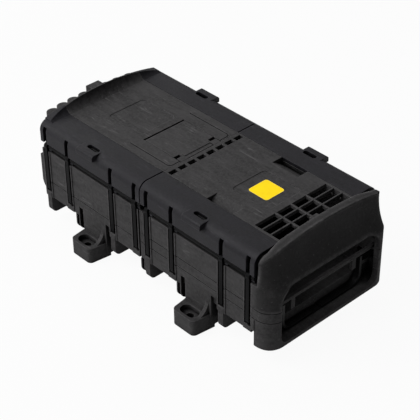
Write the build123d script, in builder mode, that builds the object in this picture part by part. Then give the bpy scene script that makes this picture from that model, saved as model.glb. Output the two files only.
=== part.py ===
from build123d import *
import os

os.makedirs("parts", exist_ok=True)

# A two-module fibre splice box. Millimetres, X along the box, Z up, underside on Z = 0.
# Lengths along the box are measured from the middle seam between the two modules.

# Envelope
module_length = 105.0  # middle seam to the end of strips and frames
hood_nose = 15.5  # how far the cable hood stands past its module
flute_nose = 17.0  # how far the flutes stand past theirs
deck_height = 81.5  # flat top shared by covers and strips, over the feet
far_reach = module_length + flute_nose
near_reach = module_length + hood_nose
seam_x = (far_reach - near_reach) / 2
joint_gap = 0.3  # running gap between pieces that part or swing
slip_gap = 0.15  # gap between pieces that only rest together
overlap = 1.0  # extra length of blocks and cuts that run into each other

# Side walls and the seams between the stacked rings
skin_half_width = 54.4
wall = 3.4
hood_underside = 10.5
tub_underside = 21.0
tub_floor = 2.5
base_seam = 34.4
spacer_height = 7.5
seam_line_height = 0.6  # shadow line along each seam
seam_line_depth = 0.7
panel_top = 60.0
rail_top = 76.5
rail_face = 46.5
rail_wall = 3.0
rail_trough = 1.8  # depth of the trough behind the top of a side panel
rail_shelf = 2.4
beam_width = 6.0
beam_height = 4.0
end_guard_half_width = 52.4
end_guard_rise = 14.0
tub_top = tub_underside + tub_floor
spacer_top = base_seam + spacer_height
skin_inner = skin_half_width - wall
rail_inner = rail_face - rail_wall

# Side strips, the rods they swing on and the posts that hold the rods
strip_half_width = 55.0
strip_wall = 2.2
strip_inner_edge = 34.3
shoulder_radius = 7.0
strip_seam_gap = 0.5
skirt_bottom = 66.0
rod_radius = 1.5
rod_gauge = 53.0
rod_height = 63.2
rod_end = 2.5
knuckle_radius = 2.8
knuckle_width = 2.8
knuckle_clearance = 0.25
knuckle_open = 0.9  # how far the hook of a knuckle reaches past the middle of the rod
knuckle_neck = 5.0  # how far the neck of a knuckle runs up behind the skirt
knuckle_neck_wall = 3.0
post_end_inset = 5.0
post_far_inset = 28.7
post_near_pair = (6.0, 30.0)
post_offsets = (*post_near_pair, module_length - post_far_inset, module_length - post_end_inset)
post_width = 3.0
post_face = 55.2
post_depth = 2.6
post_foot = 26.9
post_hook = 2.6
post_hook_reach = 3.3
post_edge_radius = 1.0
post_eye_radius = 2.5
eye_clearance = 0.08
channel_width = 5.4
channel_depth = 2.0
channel_foot = 25.5
bead_width = 1.0
bead_height = 0.6
socket_width = 4.2
socket_height = 4.4
notch_width = 3.6
notch_top = 78.3
notch_depth = 4.5
loop_offset = 52.5
loop_length = 17.0
loop_rise = 2.3
loop_shift = 1.2  # the bulge sits off the middle of its slot
loop_drop = 4.4
loop_edge = 2.0
loop_slot_length = 11.2
loop_slot_width = 3.9
loop_slot_gauge = 49.5
gusset_width = 2.0
gusset_offsets = (15.0, 39.0, 66.0, 88.0)
gusset_height = 5.8
gusset_reach = 3.6
groove_offset = 1.9
groove_width = 0.9
groove_depth = 0.8

# Covers
cover_half_width = 34.0
cover_wall = 2.5
flange_half_width = 48.4
flange_height = 2.5
far_lip_rise = 8.4
far_lip_half_width = 52.8
far_lip_reach = 49.8
far_lip_lean = 2.3  # how far the outer face of the lip leans in
far_lip_edge = 0.8
far_lip_ramp = 4.8
far_lip_bow = 1.2
near_lip_rise = 5.8
near_lip_rear_rise = 3.4
window_far = 37.8
window_length = 32.4
window_half_width = 18.4
tongue_half_width = 11.6
tongue_seat_margin = 0.8
tongue_gap = 0.9
corner_slot_length = 2.8
corner_slot_inner = 13.0
corner_slot_bite = 0.6  # how far the slot runs past the window
corner_line = 0.6
bezel_half_width = 27.6
bezel_length = 40.0
bezel_line = 0.8
bezel_depth = 0.6
bezel_corner = 3.0
note_far = 77.5
note_length = 34.0
note_half_width = 16.5
note_depth = 0.35
field_corner = 3.5
vent_count = 8
vent_pitch = 8.45
vent_width = 6.5
vent_length = 3.9
vent_offset = 4.95
pocket_offset = 53.5
pocket_length = 23.5
pocket_width = 9.3
pocket_depth = 5.5
pocket_floor = 2.0
label_offset = 61.0
label_length = 33.0
label_half_width = 15.5
label_depth = 0.4
grille_inset = 22.2
grille_rows = (5.9, 6.4, 8.1)
grille_row_bar = 1.0
grille_columns = (17.6, 12.6, 12.6, 17.6)
grille_column_bar = 1.3
grille_tab_width = 6.5
grille_tab_length = 4.0
grille_tab_rise = 1.2

# Inspection flap
flap_thickness = 2.0
flap_pin_radius = 0.7
flap_pin_length = 1.6
flap_step = 0.5
flap_step_length = 3.0

# Cable hood at the near end
hood_gap = 0.7  # from the end of its module to the rear edge of the hood on the deck
cheek_lap = 1.5
hood_side_gap = 3.3  # the same on the shoulders, where the rear edge stands back
chin_notch_length = 3.0
chin_notch_depth = 3.6
chin_notch_top = 24.0
clip_inset = 14.5
clip_width = 1.8
clip_rise = 0.6
clip_foot = 25.0
clip_top = 33.2
hood_half_width = 55.5
hood_corner = 12.0
hood_shoulder = 8.0
hood_wall = 4.5
hood_edge_chamfer = 2.0
mouth_half_width = 45.0
mouth_bottom = 15.0
mouth_top = 57.5
mouth_top_radius = 11.0
mouth_bottom_radius = 6.0
brow_crest_inset = 6.8
brow_foot_inset = 1.7
brow_foot_height = 58.5
brow_bow = 2.5
brow_corner = 8.0
brow_steps = 4
brow_wall = 3.4
nose_margin = 0.02  # the body that bounds the nose clears the flat sides of the hood by this much
bar_inset = 7.8
bar_width = 2.2
bar_height = 40.5
bar_thickness = 2.2
bar_hook_gauge = 28.4
bar_hook_width = 3.4
bar_hook_drop = 9.0

# Underside
fin_half_width = 55.4
fin_foot = 7.5
fin_top = 25.0
fin_thickness = 4.4
fin_corner = 4.5
slotted_fin_offsets = (0.2, 35.8)
slotted_fin_corner = 6.0
fin_slot_width = 2.2
fin_slot_depth = 9.0
foot_offset = 54.2
foot_wall_length = 24.4
foot_wall_thickness = 3.0
foot_pad_length = 20.0
foot_reach = 68.2
foot_height = 12.0
foot_corner = 3.5
foot_rib_rise = 2.4
foot_gusset_height = 12.0
foot_gusset_reach = 7.0
foot_gusset_wall = 2.6
foot_gusset_sag = 1.6
foot_bore_radius = 2.6
foot_bore_gauge = 61.6
foot_pocket_length = 15.0
foot_pocket_width = 9.0
foot_pocket_depth = 4.0
foot_bay_top = 28.2
foot_bay_depth = 2.4
dimple_radius = 1.8
dimple_height = 26.6
dimple_shift = 1.6
dimple_depth = 2.2

# Far end
apron_reach = 4.8
apron_half_width = 53.0
apron_top = 52.0
apron_curl = 30.5
apron_bottom = 23.5
apron_radius = 10.0
flute_count = 8
flute_pitch = 10.1
flute_bow = 2.25  # how far the outer flutes stand back from the inner ones
flute_top = 76.5
flute_wall = 2.0
end_window_half_width = 42.5
end_window_bottom = 40.5
end_window_top = 72.0
tab_half_width = 5.4
tab_length = 9.6
tab_top = 85.8
tab_edge = 1.2

# Splice cassettes on their carrier, and the cable fixings
carrier_inset = 8.0  # from the far end of the frames
carrier_margin = 7.5  # carrier plate past each end of the cassettes
carrier_half_width = 43.0
carrier_thickness = 2.0
carrier_boss_height = 2.5
carrier_boss_radius = 4.0
carrier_screw_inset = 3.6
carrier_screw_gauge = 30.0
screw_radius = 1.5
screw_head_radius = 2.8
screw_head_height = 2.0
screw_length = 4.0
cassette_length = 141.0
cassette_half_width = 42.0
cassette_height = 8.0
cassette_corner = 20.0
cassette_wall = 1.6
cassette_floor = 1.5
cassette_count = 3
hub_offset = 36.0
hub_radius = 17.0
hub_height = 5.5
hub_wall = 1.6
entry_width = 12.0
entry_gauge = 26.0
holder_length = 30.0
holder_width = 17.0
holder_height = 4.6
holder_gauge = 27.0
holder_slots = 6
holder_slot_width = 1.5
holder_slot_depth = 2.6
lid_thickness = 1.5
strap_width = 16.0
strap_thickness = 1.2
strap_hook = 4.0
comb_gap = 7.0
comb_length = 14.0
comb_half_width = 40.0
comb_thickness = 3.0
comb_fingers = 7
comb_finger_width = 8.4
comb_finger_neck = 4.6
comb_finger_height = 7.0
comb_finger_pitch = 11.4
comb_screw_gauge = 35.0
comb_screw_inset = 4.0
saddle_inset = 12.3
saddle_length = 5.0
saddle_top = 37.5
saddle_lug = 2.4
saddle_half_width = 37.0
saddle_wall = 2.0
saddle_corner = 9.0
saddle_notch_gauge = -4.7
saddle_notch_width = 7.6

# Heights and stations that follow
far_x = seam_x - module_length
near_x = seam_x + module_length
hood_start = module_length + hood_gap
hood_side_start = module_length + hood_side_gap
cheek_start = module_length - cheek_lap
brow_crest = near_reach - brow_crest_inset
brow_foot = near_reach - brow_foot_inset
bar_offset = near_reach - bar_inset
saddle_offset = near_reach - saddle_inset
grille_offset = module_length - grille_inset
flute_offset = far_reach - flute_pitch / 2 - flute_bow
cover_underside = deck_height - cover_wall
flange_top = rail_top + flange_height
carrier_z = tub_top + carrier_boss_height
cassette_z = carrier_z + carrier_thickness
lid_z = cassette_z + cassette_count * cassette_height
carrier_start = carrier_inset - module_length
carrier_length = cassette_length + 2 * carrier_margin
cassette_x = seam_x + carrier_start + carrier_length / 2
comb_offset = carrier_start + carrier_length + comb_gap
far_stations = [seam_x - offset for offset in reversed(post_offsets)]
near_stations = [seam_x + offset for offset in post_offsets]
stations = far_stations + near_stations
rod_starts = {"far": far_stations[0] - rod_end, "near": near_stations[0] - rod_end}
rod_stops = {"far": seam_x - joint_gap, "near": near_x}
knuckle_shift = notch_width / 2 + joint_gap + knuckle_width / 2
foot_offsets = (foot_offset - module_length, foot_offset)
fin_stations = stations[::2]
slotted_fin_stations = [seam_x + offset for offset in (slotted_fin_offsets[1] - module_length, *slotted_fin_offsets)]
open_height = 120.0  # taller than the box, for cuts that run clear of it


def export(piece, name):
    """Labels a finished piece and writes it as one STEP file."""
    piece.part.label = name
    export_step(piece.part, f"parts/{name}.step")


def span_box(x_span, y_span, z_span, mode=Mode.ADD):
    """A block between the two ends of each span."""
    centre = tuple((span[0] + span[1]) / 2 for span in (x_span, y_span, z_span))
    with Locations(centre):
        Box(*[abs(span[1] - span[0]) for span in (x_span, y_span, z_span)], mode=mode)


def hood_outline(reach=near_reach, corner=hood_corner, inset=0.0):
    """Plan of the cable hood at one height: a wide nose with rounded corners."""
    start = seam_x + cheek_start - abs(inset)
    face = seam_x + reach - inset
    with Locations((start, 0)):
        Rectangle(face - start, 2 * (hood_half_width - inset), align=(Align.MIN, Align.CENTER))
    fillet([v for v in vertices() if v.X > (start + face) / 2], corner - inset)


def hood_seam_line(seam):
    """Shadow line round the hood, just under a seam."""
    with BuildSketch(Plane.XY.offset(seam)) as line:
        hood_outline()
    with BuildSketch(Plane.XY.offset(seam)) as core:
        hood_outline(inset=seam_line_depth)
    extrude(line.sketch - core.sketch, amount=-seam_line_height, mode=Mode.SUBTRACT)


def wall_seam_line(x_span, seam):
    """Shadow line along both side walls, just under a seam."""
    y_span = (skin_half_width - seam_line_depth, skin_half_width + wall)
    side_blocks([sum(x_span) / 2], x_span[1] - x_span[0], y_span, (seam - seam_line_height, seam),
                mode=Mode.SUBTRACT)


def mouth_outline():
    """Front view of the cable mouth, with larger radii at its top."""
    middle = (mouth_bottom + mouth_top) / 2
    with Locations((0, middle)):
        Rectangle(2 * mouth_half_width, mouth_top - mouth_bottom)
    fillet([v for v in vertices() if v.Y > middle], mouth_top_radius)
    fillet([v for v in vertices() if v.Y < mouth_bottom + 0.1], mouth_bottom_radius)


def side_blocks(x_list, x_size, y_span, z_span, mode=Mode.ADD):
    """Equal blocks at each place along the box, on both of its long sides."""
    y_middle = (y_span[0] + y_span[1]) / 2
    z_middle = (z_span[0] + z_span[1]) / 2
    with Locations(*[(x, side * y_middle, z_middle) for x in x_list for side in (-1, 1)]):
        Box(x_size, y_span[1] - y_span[0], z_span[1] - z_span[0], mode=mode)


def post_pads(x_list, z_span):
    """Raised pads that carry the post channels."""
    side_blocks(x_list, channel_width + 2 * bead_width, (skin_inner, skin_half_width + bead_height), z_span)


def post_channels(x_list, z_span):
    """Channels that the posts lie in."""
    floor = skin_half_width - channel_depth
    side_blocks(x_list, channel_width, (floor, floor + wall), z_span, mode=Mode.SUBTRACT)


def seam_grooves(offsets, z_span):
    """Narrow upright grooves beside the middle seam."""
    places = [seam_x + offset for offset in offsets]
    y_span = (skin_half_width - groove_depth, skin_half_width + wall)
    side_blocks(places, groove_width, y_span, z_span, mode=Mode.SUBTRACT)


def skin_walls(x_span, z_span):
    """The two plain side walls of a ring."""
    side_blocks([sum(x_span) / 2], x_span[1] - x_span[0], (skin_inner, skin_half_width), z_span)


def cross_rib(x, thickness, half_width, foot, top, corner):
    """Upright rib across the underside, rounded at both ends."""
    with BuildSketch(Plane.YZ.offset(x - thickness / 2)) as rib:
        with Locations((0, (foot + top) / 2)):
            Rectangle(2 * half_width, top - foot)
        fillet([v for v in vertices() if v.Y < (foot + top) / 2], corner)
    extrude(rib.sketch, amount=thickness)


def foot(x, side):
    """Mounting foot: tapered pad, the wall above it and a hollow gusset."""
    with BuildSketch(Plane.XY) as pad:
        with BuildLine() as plan:
            Polyline((x - foot_wall_length / 2, side * skin_inner), (x - foot_pad_length / 2, side * foot_reach),
                     (x + foot_pad_length / 2, side * foot_reach), (x + foot_wall_length / 2, side * skin_inner),
                     close=True)
        make_face(plan.edges())
        fillet([v for v in vertices() if abs(v.Y) > skin_half_width], foot_corner)
    extrude(pad.sketch, amount=foot_height)
    span_box((x - foot_wall_length / 2, x + foot_wall_length / 2),
             (side * (skin_half_width - foot_wall_thickness), side * skin_half_width), (foot_rib_rise, tub_top))
    with BuildSketch(Plane.YZ.offset(x + foot_pad_length / 2 - foot_gusset_wall)) as gusset:
        with BuildLine() as edge:
            root = (side * (skin_half_width - overlap), foot_height - overlap)
            high = (side * (skin_half_width - overlap), foot_height + foot_gusset_height)
            brink = (side * skin_half_width, foot_height + foot_gusset_height)
            low = (side * (skin_half_width + foot_gusset_reach), foot_height)
            middle = (side * (skin_half_width + foot_gusset_reach / 2 - foot_gusset_sag),
                      foot_height + foot_gusset_height / 2 - foot_gusset_sag)
            Line(root, high)
            Line(high, brink)
            ThreePointArc(brink, middle, low)
            Line(low, (low[0], foot_height - overlap))
            Line((low[0], foot_height - overlap), root)
        make_face(edge.edges())
    extrude(gusset.sketch, amount=foot_gusset_wall)


# Base shell: tub, cross ribs, mounting feet and the lower part of the hood
with BuildPart() as base_shell:
    with BuildSketch(Plane.XY.offset(hood_underside)):
        hood_outline()
    extrude(amount=base_seam - hood_underside)
    chamfer(base_shell.edges().group_by(Axis.Z)[0], hood_edge_chamfer)
    side_blocks([seam_x + cheek_start + chin_notch_length / 2], chin_notch_length,
                (hood_half_width - chin_notch_depth, hood_half_width + overlap), (0, chin_notch_top),
                mode=Mode.SUBTRACT)
    side_blocks([seam_x + near_reach - clip_inset], clip_width,
                (hood_half_width - overlap, hood_half_width + clip_rise), (clip_foot, clip_top))
    hood_seam_line(base_seam)
    span_box((far_x, seam_x + cheek_start), (-skin_half_width, skin_half_width), (tub_underside, base_seam))
    for x in fin_stations:
        cross_rib(x, fin_thickness, fin_half_width, fin_foot, fin_top, fin_corner)
    for x in slotted_fin_stations:
        cross_rib(x, fin_thickness, skin_half_width, fin_foot, tub_top, slotted_fin_corner)
        side_blocks([x], fin_slot_width, (skin_half_width - fin_slot_depth, skin_half_width + overlap),
                    (fin_foot + fin_slot_width / 2, tub_underside), mode=Mode.SUBTRACT)
    for offset in foot_offsets:
        x = seam_x + offset
        for side in (-1, 1):
            foot(x, side)
        for end in (-1, 1):
            rib_x = x + end * (foot_wall_length - foot_wall_thickness) / 2
            cross_rib(rib_x, foot_wall_thickness, skin_half_width, foot_rib_rise, tub_top, foot_rib_rise)
        bores = [(x, side * foot_bore_gauge) for side in (-1, 1)]
        with BuildSketch(Plane.XY.offset(foot_height)):
            with Locations(*bores):
                SlotOverall(foot_pocket_length, foot_pocket_width)
        extrude(amount=-foot_pocket_depth, mode=Mode.SUBTRACT)
        with Locations(*[(x, y, foot_height) for x, y in bores]):
            Hole(foot_bore_radius)
    # Bays in the lower edge of the side walls, on both sides of each foot
    bay_y = (skin_half_width - foot_bay_depth, skin_half_width + overlap)
    for offset in foot_offsets:
        wall_ends = [seam_x + offset + end * foot_wall_length / 2 for end in (-1, 1)]
        fin_ends = [seam_x + offset - foot_offset + slotted_fin_offsets[1] + fin_thickness / 2]
        fin_ends.append(min(x for x in fin_stations if x > wall_ends[1]) - fin_thickness / 2)
        for wall_end, fin_end in zip(wall_ends, fin_ends):
            side_blocks([(wall_end + fin_end) / 2], abs(wall_end - fin_end), bay_y,
                        (tub_underside - overlap, foot_bay_top), mode=Mode.SUBTRACT)
    post_pads(stations, (tub_underside, base_seam))
    wall_seam_line((far_x - overlap, seam_x + cheek_start), base_seam)
    # Inside of the tub and of the hood
    span_box((far_x + wall, seam_x + cheek_start + hood_wall + overlap), (-skin_inner, skin_inner),
             (tub_top, open_height), mode=Mode.SUBTRACT)
    hood_inner = hood_half_width - hood_wall
    span_box((seam_x + cheek_start + hood_wall, seam_x + near_reach - hood_wall),
             (-hood_inner, hood_inner), (mouth_bottom, open_height), mode=Mode.SUBTRACT)
    with BuildSketch(Plane.YZ.offset(seam_x + near_reach - hood_corner)):
        mouth_outline()
    extrude(amount=hood_corner + overlap, mode=Mode.SUBTRACT)
    # Post channels with the sockets that the post hooks catch in
    post_channels(stations, (channel_foot, open_height))
    side_blocks(stations, socket_width, (skin_inner - overlap, skin_half_width),
                (channel_foot, channel_foot + socket_height), mode=Mode.SUBTRACT)
    seam_grooves((-groove_offset, groove_offset), (tub_underside - overlap, open_height))
    with Locations(*[(x + dimple_shift, side * skin_half_width, dimple_height)
                     for x in stations[1::2] for side in (-1, 1)]):
        Cylinder(dimple_radius, 2 * dimple_depth, rotation=(90, 0, 0), mode=Mode.SUBTRACT)
    # Bosses for the cassette carrier and the tie comb
    boss_spots = [
        (seam_x + carrier_start + end, side * carrier_screw_gauge)
        for end in (carrier_screw_inset, carrier_length - carrier_screw_inset)
        for side in (-1, 1)
    ]
    with Locations(*[(x, y, tub_top + carrier_boss_height / 2) for x, y in boss_spots]):
        Cylinder(carrier_boss_radius, carrier_boss_height)
    comb_spots = [(seam_x + comb_offset + comb_length - comb_screw_inset, side * comb_screw_gauge) for side in (-1, 1)]
    screw_spots = [(x, y, carrier_z) for x, y in boss_spots] + [(x, y, tub_top) for x, y in comb_spots]
    with Locations(*screw_spots):
        Cylinder(screw_radius, 2 * (screw_length - carrier_thickness), mode=Mode.SUBTRACT)
export(base_shell, "base_shell")

# Spacer ring under the near module, with the cross bar seen in the mouth
with BuildPart() as spacer_ring:
    skin_walls((seam_x + slip_gap, seam_x + cheek_start + wall), (base_seam, spacer_top))
    with BuildSketch(Plane.XY.offset(base_seam)):
        hood_outline()
    extrude(amount=spacer_height)
    hood_seam_line(spacer_top)
    post_pads(near_stations, (base_seam, spacer_top))
    wall_seam_line((seam_x, seam_x + cheek_start), spacer_top)
    span_box((seam_x + cheek_start - overlap, seam_x + near_reach - hood_wall), (-skin_inner, skin_inner),
             (0, open_height), mode=Mode.SUBTRACT)
    with BuildSketch(Plane.YZ.offset(seam_x + near_reach - hood_corner)):
        mouth_outline()
    extrude(amount=hood_corner + overlap, mode=Mode.SUBTRACT)
    post_channels(near_stations, (0, open_height))
    seam_grooves((groove_offset,), (0, open_height))
    bar_span = (seam_x + bar_offset - bar_width / 2, seam_x + bar_offset + bar_width / 2)
    span_box(bar_span, (-skin_inner - overlap, skin_inner + overlap),
             (bar_height - bar_thickness / 2, bar_height + bar_thickness / 2))
    for side in (-1, 1):
        y_middle = side * bar_hook_gauge
        span_box(bar_span, (y_middle - bar_hook_width / 2, y_middle + bar_hook_width / 2),
                 (bar_height - bar_hook_drop, bar_height))
export(spacer_ring, "spacer_ring")


def rail_profile(side, bottom):
    """Section of one side of an upper frame: skin below, a trough, and the rail behind the rod."""
    trough = panel_top - rail_trough
    with BuildLine() as outline:
        points = [
            (skin_half_width, bottom), (skin_half_width, panel_top), (skin_inner, panel_top),
            (skin_inner, trough), (rail_face, trough), (rail_face, rail_top), (rail_inner, rail_top),
            (rail_inner, trough - rail_shelf), (skin_inner - slip_gap, trough - rail_shelf),
            (skin_inner - slip_gap, bottom),
        ]
        Polyline(*[(side * y, z) for y, z in points], close=True)
    make_face(outline.edges())


far_lip_span = far_lip_lean + far_lip_edge + far_lip_ramp


def cross_beam(x_span):
    """Tie under the covers between the two rails."""
    span_box(x_span, (-rail_inner - overlap, rail_inner + overlap), (rail_top - beam_height, rail_top))


# Upper frames: two rails each, tied by cross beams under the cover ends
with BuildPart() as frame_far:
    for side in (-1, 1):
        with BuildSketch(Plane.YZ.offset(far_x)):
            rail_profile(side, base_seam)
        extrude(amount=module_length - slip_gap)
    with BuildSketch(Plane.YZ.offset(far_x)):
        with Locations((0, (base_seam + rail_top) / 2)):
            Rectangle(2 * skin_inner, rail_top - base_seam)
        with Locations((0, (end_window_bottom + end_window_top) / 2)):
            Rectangle(2 * end_window_half_width, end_window_top - end_window_bottom, mode=Mode.SUBTRACT)
    extrude(amount=wall)
    side_blocks([far_x + wall / 2], wall, (skin_inner - overlap, end_guard_half_width),
                (rod_height + post_eye_radius, panel_top + end_guard_rise))
    cross_beam((seam_x - slip_gap - beam_width, seam_x - slip_gap))
    post_pads(far_stations, (base_seam, panel_top))
    post_channels(far_stations, (0, panel_top + overlap))
    seam_grooves((-groove_offset,), (0, open_height))
export(frame_far, "frame_far")

with BuildPart() as frame_near:
    near_frame_length = cheek_start - 2 * slip_gap
    for side in (-1, 1):
        with BuildSketch(Plane.YZ.offset(seam_x + slip_gap)):
            rail_profile(side, spacer_top)
        extrude(amount=near_frame_length)
    cross_beam((seam_x + slip_gap, seam_x + slip_gap + beam_width))
    beam_end = seam_x + slip_gap + near_frame_length
    post_pads(near_stations[:-1], (spacer_top, panel_top))
    pad = channel_width / 2 + bead_width
    for side in (-1, 1):
        span_box((near_stations[-1] - pad, beam_end),
                 (side * skin_inner, side * (skin_half_width + bead_height)), (spacer_top, panel_top))
    post_channels(near_stations, (0, panel_top + overlap))
    seam_grooves((groove_offset,), (0, open_height))
export(frame_near, "frame_near")


def cover_profile():
    """Section of a cover: raised middle panel with a lower flange on each side."""
    with BuildLine() as outline:
        half = [
            (0, deck_height), (cover_half_width, deck_height), (cover_half_width, flange_top),
            (flange_half_width, flange_top), (flange_half_width, rail_top),
            (cover_half_width - cover_wall, rail_top), (cover_half_width - cover_wall, cover_underside),
            (0, cover_underside),
        ]
        left = [(-y, z) for y, z in reversed(half[1:-1])]
        Polyline(*half, *left, close=True)
    make_face(outline.edges())


def far_lip(reach, both):
    """Arched lip across the far end, before its trim: a leaning wedge with a hollow ramp."""
    crest = deck_height + far_lip_rise
    edge_x = far_x + far_lip_lean
    ramp_top = edge_x + far_lip_edge
    ramp_foot = ramp_top + far_lip_ramp
    lip_bottom = deck_height - strip_wall
    with BuildSketch(Plane.XZ) as lip:
        with BuildLine():
            Polyline((ramp_foot, deck_height), (ramp_foot, lip_bottom), (far_x, lip_bottom),
                     (far_x, deck_height), (edge_x, crest), (edge_x, crest + overlap), (ramp_top, crest + overlap),
                     (ramp_top, crest))
            ThreePointArc(
                (ramp_top, crest),
                ((ramp_top + ramp_foot) / 2 - far_lip_bow, (crest + deck_height) / 2 - far_lip_bow),
                (ramp_foot, deck_height),
            )
        make_face()
    extrude(lip.sketch, amount=-reach, both=both)


def far_arch_trim():
    """Removes all that stands above the arch of the far lip."""
    with BuildSketch(Plane.YZ.offset(far_x - overlap)) as above:
        with BuildLine():
            left = (-far_lip_half_width, deck_height)
            right = (far_lip_half_width, deck_height)
            ThreePointArc(left, (0, deck_height + far_lip_rise), right)
            Polyline(right, (far_lip_half_width, open_height), (-far_lip_half_width, open_height), left)
        make_face()
    extrude(above.sketch, amount=far_lip_span + 2, mode=Mode.SUBTRACT)


# Far cover with its arched lip and the window for the inspection flap
window_x = seam_x - window_far
window_end = window_x + window_length
flap_axis_x = window_x + 2 * joint_gap + flap_thickness / 2
flap_axis_z = deck_height - cover_wall / 2
tongue_end = seam_x - slip_gap - tongue_gap
slot_span = (window_end + corner_slot_bite - corner_slot_length, window_end + corner_slot_bite)
with BuildPart() as cover_far:
    with BuildSketch(Plane.YZ.offset(far_x)):
        cover_profile()
    extrude(amount=module_length - slip_gap)
    far_lip(cover_half_width, both=True)
    far_arch_trim()
    span_box((window_x, window_x + window_length), (-window_half_width, window_half_width),
             (0, open_height), mode=Mode.SUBTRACT)
    span_box((window_end - overlap, seam_x), (-tongue_half_width - joint_gap, tongue_half_width + joint_gap),
             (0, open_height), mode=Mode.SUBTRACT)
    seat_half_width = tongue_half_width + tongue_seat_margin
    span_box((window_end, seam_x - slip_gap), (-seat_half_width, seat_half_width),
             (rail_top, deck_height - flap_thickness - slip_gap))
    side_blocks([sum(slot_span) / 2], slot_span[1] - slot_span[0], (corner_slot_inner, window_half_width),
                (0, open_height), mode=Mode.SUBTRACT)
    side_blocks([(slot_span[1] + seam_x) / 2], seam_x - slot_span[1],
                (window_half_width - corner_line, window_half_width),
                (deck_height - bezel_depth, deck_height + overlap), mode=Mode.SUBTRACT)
    with Locations((flap_axis_x, 0, flap_axis_z)):
        Cylinder(flap_pin_radius + slip_gap, 2 * (window_half_width + flap_pin_length),
                 rotation=(90, 0, 0), mode=Mode.SUBTRACT)
    # Thin line that frames the flap, and the shallow note field beside it
    with BuildSketch(Plane.XY.offset(deck_height)):
        bezel_end = seam_x - bezel_line
        with Locations((bezel_end - bezel_length, 0)):
            RectangleRounded(2 * bezel_length, 2 * bezel_half_width, bezel_corner)
            RectangleRounded(2 * (bezel_length - bezel_line), 2 * (bezel_half_width - bezel_line),
                             bezel_corner - bezel_line, mode=Mode.SUBTRACT)
            Rectangle(4 * bezel_length, 2 * window_half_width, mode=Mode.SUBTRACT)
        with Locations((bezel_end - bezel_length / 2, 0)):
            Rectangle(bezel_length, 4 * bezel_half_width, mode=Mode.INTERSECT)
    extrude(amount=-bezel_depth, mode=Mode.SUBTRACT)
    with BuildSketch(Plane.XY.offset(deck_height)):
        with Locations((seam_x - note_far + note_length / 2, 0)):
            RectangleRounded(note_length, 2 * note_half_width, field_corner)
    extrude(amount=-note_depth, mode=Mode.SUBTRACT)
export(cover_far, "cover_far")

# Inspection flap, hinged on two stub pins at its far edge
with BuildPart() as inspection_flap:
    flap_end = window_end - joint_gap
    flap_half_width = window_half_width - joint_gap
    flap_z = (deck_height - flap_thickness, deck_height)
    span_box((flap_axis_x, flap_end), (-flap_half_width, flap_half_width), flap_z)
    span_box((flap_end, tongue_end), (-tongue_half_width, tongue_half_width), flap_z)
    span_box((tongue_end - flap_step_length, tongue_end), (-tongue_half_width, tongue_half_width),
             (deck_height - flap_step, deck_height), mode=Mode.SUBTRACT)
    side_blocks([(slot_span[0] + flap_end + overlap) / 2], flap_end + overlap - slot_span[0],
                (corner_slot_inner, window_half_width), (0, open_height), mode=Mode.SUBTRACT)
    with Locations((flap_axis_x, 0, flap_axis_z)):
        Cylinder(flap_thickness / 2, 2 * flap_half_width, rotation=(90, 0, 0))
        Cylinder(flap_pin_radius, 2 * (flap_half_width + flap_pin_length), rotation=(90, 0, 0))
export(inspection_flap, "inspection_flap")


def hood_section(rise):
    """Section of the upper hood: rounded shoulders joined by an arched top."""
    shoulder_y = hood_half_width - hood_shoulder
    shoulder_z = deck_height - hood_shoulder
    with BuildLine() as outline:
        Line((hood_half_width, spacer_top), (hood_half_width, shoulder_z))
        CenterArc((shoulder_y, shoulder_z), hood_shoulder, 0, 90)
        ThreePointArc((shoulder_y, deck_height), (0, deck_height + rise), (-shoulder_y, deck_height))
        CenterArc((-shoulder_y, shoulder_z), hood_shoulder, 90, 90)
        Line((-hood_half_width, shoulder_z), (-hood_half_width, spacer_top))
        Line((-hood_half_width, spacer_top), (hood_half_width, spacer_top))
    make_face(outline.edges())


# Hollow brow above the mouth: an arc in side view through the crest and the foot of the brow
crest_z = deck_height + near_lip_rise
brow_chord = Vector(brow_foot - brow_crest, 0, brow_foot_height - crest_z)
brow_radius = (brow_chord.length ** 2 / 4 + brow_bow ** 2) / (2 * brow_bow)
brow_outward = Vector(-brow_chord.Z, 0, brow_chord.X) / brow_chord.length
brow_middle = Vector((brow_crest + brow_foot) / 2, 0, (brow_foot_height + crest_z) / 2)
brow_centre = brow_middle + brow_outward * (brow_radius - brow_bow)
brow_low = brow_centre.Z - (brow_radius ** 2 - (brow_centre.X - near_reach) ** 2) ** 0.5
brow_high = crest_z + overlap


def brow_front(z):
    """Reach of the hood at a height within the brow."""
    return brow_centre.X - (brow_radius ** 2 - (z - brow_centre.Z) ** 2) ** 0.5


# Body that bounds the nose: plans that follow the brow and its tighter corners
with BuildPart() as nose:
    with BuildSketch(Plane.XY):
        hood_outline(near_reach + nose_margin, hood_corner, -nose_margin)
    extrude(amount=brow_low)
    for step in range(brow_steps + 1):
        share = step / brow_steps
        z = brow_low + share * (brow_high - brow_low)
        corner = hood_corner + share * (brow_corner - hood_corner)
        with BuildSketch(Plane.XY.offset(z)):
            hood_outline(brow_front(z) - nose_margin, corner, -nose_margin)
    loft()

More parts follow.
